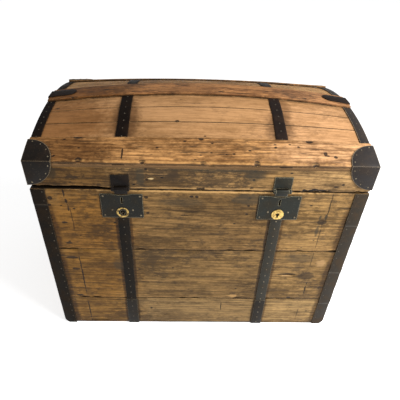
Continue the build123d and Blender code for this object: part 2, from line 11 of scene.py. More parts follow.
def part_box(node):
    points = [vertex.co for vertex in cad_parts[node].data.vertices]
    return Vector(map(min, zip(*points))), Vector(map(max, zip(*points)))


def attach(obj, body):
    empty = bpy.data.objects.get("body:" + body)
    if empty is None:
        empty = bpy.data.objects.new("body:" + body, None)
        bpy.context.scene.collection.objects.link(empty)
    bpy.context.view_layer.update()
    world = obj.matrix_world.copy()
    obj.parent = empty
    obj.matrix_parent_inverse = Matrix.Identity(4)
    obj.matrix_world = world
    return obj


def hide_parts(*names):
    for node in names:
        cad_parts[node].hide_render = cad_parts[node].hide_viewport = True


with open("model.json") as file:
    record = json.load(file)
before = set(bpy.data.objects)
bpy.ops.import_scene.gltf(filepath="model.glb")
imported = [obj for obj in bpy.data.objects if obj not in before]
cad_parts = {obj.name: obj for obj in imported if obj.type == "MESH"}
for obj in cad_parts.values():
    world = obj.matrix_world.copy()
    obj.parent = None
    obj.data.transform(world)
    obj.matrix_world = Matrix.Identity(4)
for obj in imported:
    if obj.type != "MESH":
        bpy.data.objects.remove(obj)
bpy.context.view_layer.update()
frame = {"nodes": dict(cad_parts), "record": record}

# A dome-top travel trunk. Metres, +Z up, front towards -Y.

MM = 0.001
nodes = frame["nodes"]
record = frame["record"]
node_slots = {row["node"]: row["material_slot"] for row in record["subparts"]}
node_bodies = {
    node: body for body, members in record["behaviour"]["bodies"].items() for node in members
}

# The trunk's own planes and lines, from the frame
front_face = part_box("front_board_upper")[0].y
end_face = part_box("front_board_upper")[1].x
body_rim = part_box("front_board_upper")[1].z
lock_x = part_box("lock_plate_right")[0].lerp(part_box("lock_plate_right")[1], 0.5).x

# The photo was taken from above the front, a little left of the middle
camera_place = Vector((-0.0526, -1.2364, 1.2222))
camera_pitch = 0.6688
camera_roll = -0.035051
camera_yaw = -0.03426
camera_lens = 35.35
camera_film = 36
camera_shift = (0.0172, 0.0485)


def add_to_scene(thing):
    bpy.context.scene.collection.objects.link(thing)


def camera():
    """The camera at the photo's viewing angle."""
    lens = bpy.data.cameras.new("photo_camera")
    lens.lens = camera_lens
    lens.sensor_width = camera_film
    lens.shift_x, lens.shift_y = camera_shift
    seen_from = bpy.data.objects.new("photo_camera", lens)
    add_to_scene(seen_from)
    turn = (
        Matrix.Rotation(camera_yaw, 4, "Z")
        @ Matrix.Rotation(pi / 2 - camera_pitch, 4, "X")
        @ Matrix.Rotation(-camera_roll, 4, "Z")
    )
    seen_from.matrix_world = Matrix.Translation(camera_place) @ turn
    bpy.context.scene.camera = seen_from


def lamp(name, place, aim, size, power):
    """A square soft box that faces a point."""
    light = bpy.data.lights.new(name, "AREA")
    light.size = size
    light.energy = power
    box = bpy.data.objects.new(name, light)
    add_to_scene(box)
    box.location = place
    box.rotation_euler = (Vector(aim) - Vector(place)).to_track_quat("-Z", "Y").to_euler()


# Shader tools

def paint(red, green, blue):
    """A colour as it is seen, 0 to 255, turned into the linear colour that shaders take."""
    seen = (red / 255, green / 255, blue / 255)
    return tuple(((c + 0.055) / 1.055) ** 2.4 if c > 0.04 else c / 12.92 for c in seen) + (1,)


def fill(made, inputs):
    """Joins a shader node's inputs to what feeds them, or sets their values."""
    for name, value in inputs.items():
        socket = made.inputs[name]
        if isinstance(value, bpy.types.NodeSocket):
            made.id_data.links.new(value, socket)
        else:
            socket.default_value = value


def put(tree, kind, inputs=None, **settings):
    """Adds a shader node, with its settings made and its inputs joined or filled."""
    made = tree.nodes.new("ShaderNode" + kind)
    for name, value in settings.items():
        setattr(made, name, value)
    fill(made, inputs or {})
    return made


# The rest take the tree from the first socket that they are given

def maths(operation, first, second):
    return put(first.id_data, "Math", {0: first, 1: second}, operation=operation).outputs[0]


def plus(first, second):
    return maths("ADD", first, second)


def minus(first, second):
    return maths("SUBTRACT", first, second)


def times(first, second):
    return maths("MULTIPLY", first, second)


def mix(share, first, second, kind="MIX"):
    """Two colours mixed."""
    inputs = {0: share, 6: first, 7: second}
    return put(share.id_data, "Mix", inputs, data_type="RGBA", blend_type=kind).outputs[2]


def vectors(operation, first, second):
    inputs = {0: first, 1: second}
    return put(first.id_data, "VectorMath", inputs, operation=operation).outputs[0]


def stretched(vector, scale):
    return vectors("MULTIPLY", vector, scale)


def scaled(vector, factor):
    inputs = {0: vector, 3: factor}
    return put(vector.id_data, "VectorMath", inputs, operation="SCALE").outputs[0]


def fog(vector, scale=1.0, detail=3.0, roughness=0.55):
    """Soft noise, 0 to 1."""
    inputs = {"Vector": vector, "Scale": scale, "Detail": detail, "Roughness": roughness}
    return put(vector.id_data, "TexNoise", inputs).outputs[0]


def step(value, low, high, at_low=0.0, at_high=1.0):
    """A smooth step from at_low to at_high."""
    inputs = {0: value, 1: low, 2: high, 3: at_low, 4: at_high}
    return put(value.id_data, "MapRange", inputs, interpolation_type="SMOOTHSTEP").outputs[0]


def effect(name, takes, gives):
    """A shared effect on coordinates: its tree, the sockets that it takes, and its end node."""
    tree = bpy.data.node_groups.new(name, "ShaderNodeTree")
    for way, sockets in (("INPUT", {"Coordinates": "Vector", **takes}), ("OUTPUT", gives)):
        for socket, kind in sockets.items():
            tree.interface.new_socket(socket, in_out=way, socket_type="NodeSocket" + kind)
    start = tree.nodes.new("NodeGroupInput")
    return tree, start.outputs, tree.nodes.new("NodeGroupOutput")


def use(group, place, **inputs):
    """A shared effect placed in a material, with that material's own values."""
    inputs["Coordinates"] = place
    return put(place.id_data, "Group", inputs, node_tree=group).outputs


# What an effect gives
surface = {"Color": "Color", "Height": "Float", "Roughness": "Float"}
mask = {"Mask": "Float"}

# The bottom of a worm hole
HOLE = (0.006, 0.004, 0.003, 1)


def pine_grain():
    """Old pine, grain along X: bands, growth rings, fibres, grey stains, splits and worm holes."""
    tree, takes, end = effect(
        "pine_grain",
        {"Dark": "Color", "Light": "Color", "Stain": "Color", "Stained": "Float",
         "Rings": "Float", "Holes": "Float", "Worn": "Float"},
        surface,
    )
    place = takes["Coordinates"]
    wander = fog(stretched(place, (1.1, 5, 5)), detail=2)
    sway = put(tree, "CombineXYZ", {"Y": wander, "Z": wander}).outputs[0]
    bent = put(tree, "VectorMath", {0: sway, 1: (0.03,) * 3, 2: place},
               operation="MULTIPLY_ADD").outputs[0]
    bands = fog(stretched(bent, (2.6, 92, 92)), detail=5, roughness=0.72)
    patches = fog(stretched(place, (3, 7, 7)), detail=6, roughness=0.7)
    mottle = fog(stretched(place, (36, 74, 74)), detail=5, roughness=0.78)
    tone = plus(times(bands, 0.3), times(patches, 0.42))
    tone = plus(tone, times(mottle, 0.28))
    colour = mix(step(tone, 0.415, 0.585), takes["Dark"], takes["Light"])

    rings = put(tree, "TexWave", {"Vector": stretched(bent, (0.05, 1, 1)), "Scale": 48,
                                  "Distortion": 5, "Detail": 2, "Detail Scale": 0.25},
                wave_type="BANDS", bands_direction="DIAGONAL").outputs[1]
    late_wood = times(step(rings, 0.55, 0.98), takes["Rings"])
    colour = mix(late_wood, colour, takes["Dark"])

    fibre = fog(stretched(bent, (8, 240, 240)), detail=4, roughness=0.75)
    shade = step(fibre, 0.36, 0.64, 0.68, 1.26)
    colour = mix(takes["Worn"], colour, scaled(colour, shade))

    blots = fog(stretched(place, (5, 7, 7)), detail=7, roughness=0.75)
    blots = plus(blots, times(mottle, -0.5))
    stained = times(step(blots, 0.28, 0.36), takes["Stained"])
    colour = mix(stained, colour, takes["Stain"])

    streaks = fog(stretched(bent, (9, 190, 190)), detail=3, roughness=0.6)
    weathered = fog(stretched(place, (5, 9, 9)), detail=3)
    worn = times(step(streaks, 0.36, 0.41, 1, 0), step(mottle, 0.42, 0.6))
    worn = times(worn, takes["Worn"])
    colour = mix(times(worn, 0.5), colour, scaled(takes["Light"], 1.35))
    splits = times(step(streaks, 0.6, 0.64), step(weathered, 0.42, 0.6))
    splits = times(splits, takes["Worn"])
    colour = mix(times(splits, 0.75), colour, takes["Stain"])

    cells = put(tree, "TexVoronoi", {"Vector": stretched(place, (0.5, 1, 1)),
                                     "Scale": 55}).outputs
    chance = put(tree, "SeparateXYZ", {0: cells["Color"]}).outputs[0]
    bored = step(plus(chance, takes["Holes"]), 0.995, 1.0)
    holes = times(step(cells["Distance"], 0.08, 0.16, 1, 0), bored)
    colour = mix(holes, colour, HOLE)

    relief = plus(times(fibre, 0.45), bands)
    relief = minus(relief, times(splits, 0.9))
    relief = minus(relief, times(late_wood, 0.4))
    relief = minus(relief, times(holes, 2.5))
    dull = plus(times(fibre, 0.25), 0.45)
    dull = plus(dull, times(splits, 0.3))
    fill(end, {"Color": colour, "Height": relief, "Roughness": dull})
    return tree


def worn_edges():
    """Where edges are rubbed: the corner of a bevel, broken up by noise."""
    tree, takes, end = effect(
        "worn_edges", {"Reach": "Float", "Patches": "Float", "Cover": "Float"}, mask
    )
    soft = put(tree, "Bevel", {"Radius": takes["Reach"]}, samples=6).outputs[0]
    true = put(tree, "NewGeometry").outputs["True Normal"]
    alike = put(tree, "VectorMath", {0: soft, 1: true}, operation="DOT_PRODUCT").outputs["Value"]
    edge = step(alike, 0.7, 0.985, 1, 0)
    patches = fog(takes["Coordinates"], takes["Patches"], detail=4, roughness=0.7)
    patches = step(plus(patches, takes["Cover"]), 0.38, 0.6)
    fill(end, {"Mask": times(edge, patches)})
    return tree


def grime_and_shade():
    """Dirt, and painted shade, in corners and along what is nailed on."""
    tree, takes, end = effect("grime_and_shade", {"Reach": "Float"}, mask)
    open_air = put(tree, "AmbientOcclusion", {"Distance": takes["Reach"]}, samples=8).outputs[1]
    uneven = fog(takes["Coordinates"], 28, detail=4, roughness=0.65)
    shut = step(open_air, 0.45, 0.95, 1, 0)
    fill(end, {"Mask": times(shut, step(uneven, 0.2, 0.6))})
    return tree


# Marks of these two colours fade out further from their middle than the others
# Dark of the seams between boards, also used for painted shadow in gaps and beside the irons
SEAM_AND_SHADOW = (24, 17, 11)
KNOT = (32, 22, 15)
dark_marks = (SEAM_AND_SHADOW, KNOT)
dark_solid = 0.7
other_solid = 0.45


def mark():
    """A spot of a given reach in each direction, fading out from Solid of the way."""
    tree, takes, end = effect(
        "mark", {"Centre": "Vector", "Reach": "Vector", "Ragged": "Float", "Solid": "Float"}, mask
    )
    wobble = put(tree, "TexNoise", {"Vector": takes["Coordinates"], "Scale": 90,
                                    "Detail": 3}).outputs["Color"]
    centred = vectors("SUBTRACT", takes["Coordinates"], takes["Centre"])
    unit = vectors("DIVIDE", centred, takes["Reach"])
    shifted = vectors("SUBTRACT", wobble, (0.5, 0.5, 0.5))
    moved = vectors("ADD", unit, scaled(shifted, takes["Ragged"]))
    away = put(tree, "VectorMath", {0: moved}, operation="LENGTH").outputs["Value"]
    fill(end, {"Mask": step(away, takes["Solid"], 1, 1, 0)})
    return tree


def iron_skin():
    """Old black sheet iron: cloudy, with brown rust and a hammered surface."""
    tree, takes, end = effect(
        "iron_skin", {"Iron": "Color", "Rust": "Color", "Bare": "Color", "Rubbed": "Float"}, surface
    )
    place = takes["Coordinates"]
    clouds = fog(place, 26, detail=5, roughness=0.65)
    colour = mix(step(clouds, 0.42, 0.68), takes["Iron"], takes["Rust"])
    specks = fog(place, 260, detail=2)
    colour = mix(step(specks, 0.6, 0.75, 0, 0.1), colour, takes["Bare"])
    colour = mix(takes["Rubbed"], colour, takes["Bare"])
    hammered = fog(place, 60, detail=2)
    relief = plus(hammered, times(specks, 0.25))
    dull = step(clouds, 0.35, 0.7, 0.42, 0.68)
    dull = minus(dull, times(takes["Rubbed"], 0.12))
    fill(end, {"Color": colour, "Height": relief, "Roughness": dull})
    return tree


pine_grain_group = pine_grain()
worn_edges_group = worn_edges()
grime_and_shade_group = grime_and_shade()
mark_group = mark()
iron_skin_group = iron_skin()


def blank_material(name):
    """A new material with its shader, and coordinates on the piece itself."""
    material = bpy.data.materials.new(name)
    material.use_nodes = True
    shader = material.node_tree.nodes["Principled BSDF"]
    return material, shader, put(material.node_tree, "TexCoord").outputs["Object"]


def bump(shader, height, strength, depth):
    """Joins a relief to a shader's normal."""
    inputs = {"Height": height, "Strength": strength, "Distance": depth}
    fill(shader, {"Normal": put(shader.id_data, "Bump", inputs).outputs[0]})


STAIN = (58, 46, 34)
RUBBED = (205, 160, 105)
# The colour of dirt and painted shade in corners and along the irons
DIRT_AND_SHADE = (38, 29, 20)
BRASS_DIRT = (50, 40, 24)


def pine(name, dark, light, stained=0.5, rings=0.35, holes=0.12, offset=(0, 0, 0), turn=0,
         marks=(), worn=1.0):
    """Old pine. offset moves the pattern and turn turns it, so that no two boards match."""
    material, shader, place = blank_material(name)
    moved = put(material.node_tree, "Mapping", {"Vector": place, "Location": offset,
                                                "Rotation": (0, 0, turn)}).outputs[0]
    grain = use(pine_grain_group, moved, Dark=paint(*dark), Light=paint(*light),
                Stain=paint(*STAIN), Stained=stained, Rings=rings, Holes=holes, Worn=worn)
    colour, height = grain["Color"], grain["Height"]
    for centre, reach, tint, strength, ragged, kind in marks:
        solid = dark_solid if tint in dark_marks else other_solid
        share = use(mark_group, place, Centre=centre, Reach=reach, Ragged=ragged,
                    Solid=solid)["Mask"]
        share = times(share, strength)
        colour = mix(share, colour, paint(*tint), kind)
        if strength > 0.8 and kind == "MIX":
            height = minus(height, times(share, 1.2))
    rubbed = use(worn_edges_group, place, Reach=0.004, Patches=38)["Mask"]
    colour = mix(times(rubbed, 0.75), colour, paint(*RUBBED))
    # Dirt and painted shade darken the wood in corners and along what is nailed on
    dirt_and_shade = use(grime_and_shade_group, place, Reach=0.022)["Mask"]
    colour = mix(times(dirt_and_shade, 0.8), colour, paint(*DIRT_AND_SHADE))
    fill(shader, {"Base Color": colour, "Roughness": grain["Roughness"],
                  "Specular IOR Level": 0.2})
    bump(shader, height, 0.5, 0.0014)
    return material


def iron(name, colour=(33, 31, 26), rust=(46, 37, 28), bare=(136, 122, 96), reach=0.0016,
         patches=60, cover=0.0, specular=0.16):
    """Old sheet iron with rubbed edges; cover is how far the rubbing goes round."""
    material, shader, place = blank_material(name)
    rubbed = use(worn_edges_group, place, Reach=reach, Patches=patches, Cover=cover)["Mask"]
    skin = use(iron_skin_group, place, Iron=paint(*colour), Rust=paint(*rust),
               Bare=paint(*bare), Rubbed=times(rubbed, 0.8))
    fill(shader, {"Base Color": skin["Color"], "Roughness": skin["Roughness"],
                  "Specular IOR Level": specular})
    bump(shader, skin["Height"], 0.35, 0.0012)
    return material


def brass(name, rubbed, dull):
    """Rubbed brass, dark where fingers don't reach."""
    material, shader, place = blank_material(name)
    tarnish = fog(place, 170, detail=4, roughness=0.6)
    colour = mix(step(tarnish, 0.4, 0.65), paint(*rubbed), paint(*dull))
    dirt_and_shade = use(grime_and_shade_group, place, Reach=0.004)["Mask"]
    colour = mix(dirt_and_shade, colour, paint(*BRASS_DIRT))
    fill(shader, {"Base Color": colour, "Metallic": 0.85,
                  "Roughness": step(tarnish, 0.3, 0.7, 0.28, 0.5)})
    bump(shader, tarnish, 0.2, 0.0004)
    return material


floor_grey = 0.88
floor_glow = 0.68
sky_strength = 0.36


def floor_material():
    """A plain pale floor that keeps the trunk's shadow."""
    material, shader, _ = blank_material("pale_floor")
    rays = put(material.node_tree, "LightPath").outputs
    seen = maths("MAXIMUM", rays["Is Camera Ray"], rays["Is Glossy Ray"])
    seen = maths("MAXIMUM", seen, rays["Is Transmission Ray"])
    fill(shader, {"Base Color": (floor_grey, floor_grey, floor_grey, 1), "Roughness": 0.9,
                  "Emission Color": (1, 1, 1, 1), "Emission Strength": times(seen, floor_glow)})
    return material


# Stage

def stage():
    """A wide floor, an even sky and one soft box to the right of the front."""
    bpy.ops.mesh.primitive_plane_add(size=24, location=(0, 0, 0))
    floor = bpy.context.object
    floor.name = "studio_floor"
    floor.data.materials.append(floor_material())
    world = bpy.data.worlds.new("studio")
    bpy.context.scene.world = world
    world.use_nodes = True
    sky = world.node_tree.nodes["Background"]
    sky.inputs["Color"].default_value = (1, 1, 1, 1)
    sky.inputs["Strength"].default_value = sky_strength
    lamp("key", place=(1.4, -0.9, 1.7), aim=(0, -0.1, 0.45), size=1.3, power=64)


camera()
stage()
bpy.context.scene.view_settings.view_transform = "Standard"

# Workshop tools

def pick(*parts):
    """Selects these pieces and nothing else."""
    bpy.ops.object.select_all(action="DESELECT")
    for part in parts:
        part.select_set(True)
    bpy.context.view_layer.objects.active = parts[0]


def settle(part):
    """Puts a piece's place, turn and size into its mesh."""
    pick(part)
    bpy.ops.object.transform_apply(location=True, rotation=True, scale=True)


def added(name):
    """The primitive that was just added, under its own name and with its place in its mesh."""
    part = bpy.context.object
    part.name = name
    settle(part)
    return part


def finish_with(part, kind, **settings):
    """Adds a modifier and applies it."""
    pick(part)
    modifier = part.modifiers.new(kind.lower(), kind)
    for name, value in settings.items():
        setattr(modifier, name, value)
    bpy.ops.object.modifier_apply(modifier=modifier.name)


@contextmanager
def edit_mode():
    """Edit mode on the active piece, with everything in it selected."""
    bpy.ops.object.mode_set(mode="EDIT")
    bpy.ops.mesh.select_all(action="SELECT")
    yield
    bpy.ops.object.mode_set(mode="OBJECT")


def faces_out(part):
    pick(part)
    with edit_mode():
        bpy.ops.mesh.normals_make_consistent(inside=False)


def corners(part):
    """Lowest and highest corner of a piece."""
    points = np.array([tuple(point.co) for point in part.data.vertices])
    return Vector(points.min(0)), Vector(points.max(0))


def bench_copy(node, name):
    """A copy of a node's mesh with its loose triangles merged."""
    part = nodes[node].copy()
    part.data = nodes[node].data.copy()
    part.name = name
    part.parent = None
    for key in list(part.keys()):
        del part[key]
    add_to_scene(part)
    pick(part)
    with edit_mode():
        bpy.ops.mesh.remove_doubles(threshold=0.002 * MM)
    return part


def bench_solids(node):
    """Copies of a node's solids, one by one, from left to right and front to back."""
    bench_copy(node, "bench_" + node)
    with edit_mode():
        bpy.ops.mesh.separate(type="LOOSE")
    solids = list(bpy.context.selected_objects)
    return sorted(solids, key=lambda solid: tuple(sum(corners(solid), Vector())))


def clear_bench(*parts):
    for part in parts:
        bpy.data.objects.remove(part)


def round_bar(radius, depth, middle, sides, name="cutter"):
    """A cylinder along Y."""
    bpy.ops.mesh.primitive_cylinder_add(vertices=sides, radius=radius * MM, depth=depth,
                                        rotation=(pi / 2, 0, 0), location=middle)
    return added(name)


def block(size, middle):
    bpy.ops.mesh.primitive_cube_add(size=1, location=middle)
    bpy.context.object.scale = size
    return added("cutter")


def cut_away(part, cutters):
    for cutter in cutters:
        finish_with(part, "BOOLEAN", operation="DIFFERENCE", object=cutter)
    clear_bench(*cutters)


def joined(name, parts):
    """Several pieces of one kind joined into one."""
    pick(*parts)
    if len(parts) > 1:
        bpy.ops.object.join()
    whole = bpy.context.object
    whole.name = name
    return whole


def coat(part, material):
    part.data.materials.clear()
    part.data.materials.append(material)


def hand_over(part, node, material, angle=35):
    """The piece takes the node's place on its body, in this finish, or its own if None."""
    pick(part)
    bpy.ops.object.shade_smooth_by_angle(angle=radians(angle))
    if material:
        coat(part, material)
    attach(part, node_bodies[node])
    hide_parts(node)


def push(part, amount, direction, weight):
    """Moves a piece's skin along an axis, by the share of amount that weight gives each point."""
    group = part.vertex_groups.new(name="push")
    for point in part.data.vertices:
        share = weight(point.co)
        if share > 0:
            group.add([point.index], min(share, 1), "REPLACE")
    finish_with(part, "DISPLACE", strength=amount, direction=direction, mid_level=0,
                vertex_group="push")
    part.vertex_groups.remove(part.vertex_groups["push"])


def chip(part, places, amount, direction, reach):
    """Pushes a piece's skin in around these places, less and less out to reach."""
    middles = [Vector(place) for place in places]

    def weight(point):
        return max(1 - sum((away / far) ** 2 for away, far in zip(point - middle, reach))
                   for middle in middles)

    push(part, amount, direction, weight)


def relief_texture(name, size):
    clouds = bpy.data.textures.new(name, "CLOUDS")
    clouds.noise_scale = size
    clouds.noise_depth = 3
    return clouds


grain_stretch = 7


def grain_guide(name, along):
    """An empty that stretches a relief along the grain."""
    guide = bpy.data.objects.new(name, None)
    guide.scale = [grain_stretch if axis == along else 1 for axis in range(3)]
    add_to_scene(guide)
    return guide


wood_relief = relief_texture("wood_relief", 0.011)
iron_relief = relief_texture("iron_relief", 0.045)
guides = [grain_guide("grain_x", 0), grain_guide("grain_y", 1)]
bpy.context.view_layer.update()


def weather(part, depth, along=0):
    """Sinks soft grain a little, so that an old board isn't flat."""
    finish_with(part, "DISPLACE", texture=wood_relief, texture_coords="OBJECT",
                texture_coords_object=guides[along], strength=depth, mid_level=1)


def hammer(part, depth, direction="NORMAL"):
    """Gives sheet iron its gentle waves."""
    finish_with(part, "DISPLACE", texture=iron_relief, texture_coords="LOCAL",
                direction=direction, strength=depth, mid_level=0.5)


def ease_edges(part, width, segments=2):
    finish_with(part, "BEVEL", width=width, segments=segments, limit_method="ANGLE",
                angle_limit=radians(40))


# Boards

facings = {"front": Vector((0, -1, 0)), "right": Vector((1, 0, 0)),
           "back": Vector((0, 1, 0)), "left": Vector((-1, 0, 0))}
facing_turns = {"front": 0, "right": pi / 2, "back": pi, "left": -pi / 2}
board_ease = 0.0012
board_relief = 0.0012
hidden_cell = 0.009
rail_cell = 0.005


def sawn_board(name, low, high, facing, cell=0.006):
    """An upright board: a grid on its outer face, thickened inwards, eased and weathered."""
    outward = facings[facing]
    size = high - low
    sideways = facing in ("front", "back")
    length = size.x if sideways else size.y
    thickness = size.y if sideways else size.x
    middle = (low + high) / 2
    face = middle + outward * thickness / 2
    bpy.ops.mesh.primitive_grid_add(
        x_subdivisions=round(length / cell), y_subdivisions=round(size.z / cell), size=1,
        location=face, rotation=(pi / 2, 0, facing_turns[facing]))
    bpy.context.object.scale = (length, size.z, 1)
    board = added(name)
    with edit_mode():
        bpy.ops.mesh.extrude_region_move(TRANSFORM_OT_translate={"value": -outward * thickness})
    faces_out(board)
    ease_edges(board, board_ease)
    weather(board, board_relief, 0 if sideways else 1)
    return board


board_trim = 0.0003


def bowed_board(name, solid, thickness, cell, lap=0.0):
    """A board over the dome: a flat grid dropped onto its solid, then thickened downwards.

    Its underside reaches by lap below the next board towards the ridge.
    """
    low, high = corners(solid)
    size = high - low
    middle = (low + high) / 2
    bpy.ops.mesh.primitive_grid_add(
        x_subdivisions=max(4, round(size.x / cell)), y_subdivisions=max(4, round(size.y / cell)),
        size=1, location=(middle.x, middle.y, high.z + 0.05))
    bpy.context.object.scale = (size.x - 2 * board_trim, size.y - 2 * board_trim, 1)
    board = added(name)
    finish_with(board, "SHRINKWRAP", wrap_method="PROJECT", target=solid, use_project_z=True,
                use_negative_direction=True, use_positive_direction=False)
    outer_edge = low.y if middle.y < 0 else high.y
    with edit_mode():
        bpy.ops.mesh.extrude_region_move(TRANSFORM_OT_translate={"value": (0, 0, -thickness)})
        bpy.ops.transform.resize(value=(1, 1 + lap / size.y, 1),
                                 center_override=(0, outer_edge, 0))
    faces_out(board)
    return board


def chips_along(start, end, count, seed):
    """Places of small chips, spread unevenly along an edge."""
    dice = Random(seed)
    return [Vector(start).lerp(Vector(end), dice.random()) for _ in range(count)]


# In millimetres: width, height and middle of the staple slot and of the keyhole's tail
lock_cuts = ((5, 21, 561.5), (6, 11, 513.5))
keyhole_radius = 7
keyhole_height = 519
cutter_depth = 0.1


def cut_lock_holes(board):
    """The staple slots and keyholes through the upper front board."""
    for side in (-1, 1):
        cutters = [block((width * MM, cutter_depth, height * MM),
                         (side * lock_x, front_face, centre * MM))
                   for width, height, centre in lock_cuts]
        middle = (side * lock_x, front_face, keyhole_height * MM)
        cutters.append(round_bar(keyhole_radius, cutter_depth, middle, 32))
        cut_away(board, cutters)


foot_reach = 0.022
foot_wear = 0.013


def round_foot(part):
    """Wears the trunk's bottom corners round."""
    for side in (-1, 1):
        push(part, -side * foot_wear, "X",
             lambda point: min(1, max(0, (side * point.x - end_face + foot_reach) / foot_reach))
             * max(0, 1 - point.z / foot_reach) ** 2)


foot_drop = 1.6 * MM
seam_chip_count = 9
seam_chip_rise = 0.0022
seam_chip_depth = 0.0025
gouge = (0.303, front_face, 0.259)
gouge_depth = 0.006


def front_boards():
    """The front's three courses, the lowest one down to the foot of the irons."""
    for seed, course in enumerate(("lower", "middle", "upper")):
        node = "front_board_" + course
        low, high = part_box(node)
        seams = [low.z, high.z]
        if course == "lower":
            low.z -= foot_drop
            seams = [high.z]
        board = sawn_board("pine_" + node, low, high, "front")
        for edge_z in seams:
            chips = chips_along((low.x, low.y, edge_z), (high.x, low.y, edge_z),
                                seam_chip_count, seed)
            toward = 1 if edge_z == low.z else -1
            chip(board, chips, toward * seam_chip_rise, "Z", (0.018, 0.012, 0.008))
            chip(board, chips, seam_chip_depth, "Y", (0.02, 0.01, 0.008))
        if course == "lower":
            round_foot(board)
        if course == "upper":
            cut_lock_holes(board)
        if course == "middle":
            chip(board, [gouge], gouge_depth, "Y", (0.03, 0.01, 0.007))
        hand_over(board, node, materials[node])


# These two close the seam under the lid at the back and the ends
top_course_rise = 1.5 * MM
back_rail_drop = 0.5 * MM


def other_walls():
    """Back and end boards, in the same courses, the top one right up to the lid."""
    for node, facing in (("back_boards", "back"), ("end_boards_left", "left"),
                         ("end_boards_right", "right")):
        boards = []
        solids = bench_solids(node)
        for solid in solids:
            low, high = corners(solid)
            if body_rim - high.z < MM:
                high.z += top_course_rise
            boards.append(sawn_board("board", low, high, facing, hidden_cell))
        clear_bench(*solids)
        walls = joined("pine_" + node, boards)
        round_foot(walls)
        hand_over(walls, node, materials[node])


slat = 8.2 * MM
stave = 14 * MM
stave_lap = 0.002
slat_ease = 0.0016
stave_ease = 0.001
lid_relief = 0.0011
# Each node's thickness and cell
bowed_nodes = {
    "lid_staves_front": (stave, 0.007), "lid_stave_ridge": (stave, 0.012),
    "lid_staves_back": (stave, 0.009), "lid_slat_front": (slat, 0.005),
    "lid_slat_ridge": (slat, 0.006), "lid_slat_back": (slat, 0.007),
}
arris_height = 0.008
arris_chip_places = (-0.164, 0.146, 0.308, -0.334, 0.02)
arris_chip_reach = (0.01, 0.006, 0.007)


def lid_boards():
    """Staves and slats over the dome."""
    for node, (thickness, cell) in bowed_nodes.items():
        boards = []
        solids = bench_solids(node)
        for solid in solids:
            board = bowed_board("board", solid, thickness, cell,
                                lap=stave_lap if thickness == stave else 0)
            ease_edges(board, slat_ease if thickness == slat else stave_ease)
            weather(board, lid_relief)
            boards.append(board)
        clear_bench(*solids)
        whole = joined("pine_" + node, boards)
        if node == "lid_slat_front":
            arris_z = corners(whole)[0].z + arris_height
            chips = [(x, front_face, arris_z) for x in arris_chip_places]
            chip(whole, chips, 0.0025, "Y", arris_chip_reach)
            chip(whole, chips, -0.001, "Z", arris_chip_reach)
        hand_over(whole, node, materials[node])


def lid_rails():
    for node, facing in (("lid_rail_front", "front"), ("lid_rail_back", "back")):
        low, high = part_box(node)
        if facing == "back":
            low.z -= back_rail_drop
        rail = sawn_board("pine_" + node, low, high, facing, rail_cell)
        if facing == "front":
            lift_warped_ends(rail, low)
        hand_over(rail, node, materials[node])


# For each end: its side, how far it lifts, over what length, and how soon that is reached
warped_ends = ((-1, 0.0104, 0.268, 0.09), (1, 0.0042, 0.17, 0.17))
warp_height = 0.03
ripple_count = 18
ripple_depth = 0.18
rail_chip_span = (-0.2, 0.47)
rail_chip_count = 14
rail_chip_rise = 0.003
rail_chip_places = (-0.01, 0.004, 0.3, 0.325, 0.35)


def lift_warped_ends(rail, low):
    """The lid's rail has warped up off the body at both ends, more so on the left."""
    waver = Random(11)
    bumps = [waver.uniform(-ripple_depth, 0) for _ in range(ripple_count)]

    def lifted(point, side, length, fade):
        left_over = length - end_face + side * point.x
        if not 0 < left_over <= length:
            return 0
        ripple = bumps[int(left_over / length * (ripple_count - 1))]
        return (min(1, left_over / fade) + ripple) * max(0, 1 - (point.z - low.z) / warp_height)

    for side, lift, length, fade in warped_ends:
        push(rail, lift, "Z", lambda point: lifted(point, side, length, fade))
    ends = [(x, front_face, low.z) for x in rail_chip_span]
    chips = chips_along(*ends, rail_chip_count, 8)
    chips += [(x, front_face, low.z) for x in rail_chip_places]
    chip(rail, chips, rail_chip_rise, "Z", (0.014, 0.02, 0.006))


# Nails

nail_radii = {"body_nails": 2.2, "lid_nails": 2.1, "lock_plate_nails": 2.9}
nail_sizes = (0.85, 1.1)
dull_beyond_x = 0.3
dull_behind_y = -0.235


def is_dull_or_shaded(node, place):
    """Nails that take the darker iron: painted shade on the body's left half; dull on its far right
    and up the lid.
    """
    if node == "body_nails":
        return place.x < 0 or place.x > dull_beyond_x
    return place.y > dull_behind_y


def nail_seats(node):
    """The middle of each nail's underside, and the way it faces."""
    seats = []
    solids = bench_solids(node)
    for solid in solids:
        sides = {}
        for face in solid.data.polygons:
            key = tuple(round(part, 1) for part in face.normal)
            total, area = sides.get(key, (Vector(), 0))
            sides[key] = (total + face.center * face.area, area + face.area)
        under, (total, area) = max(sides.items(), key=lambda side: side[1][1])
        seats.append((total / area, -Vector(under).normalized()))
    clear_bench(*solids)
    return seats


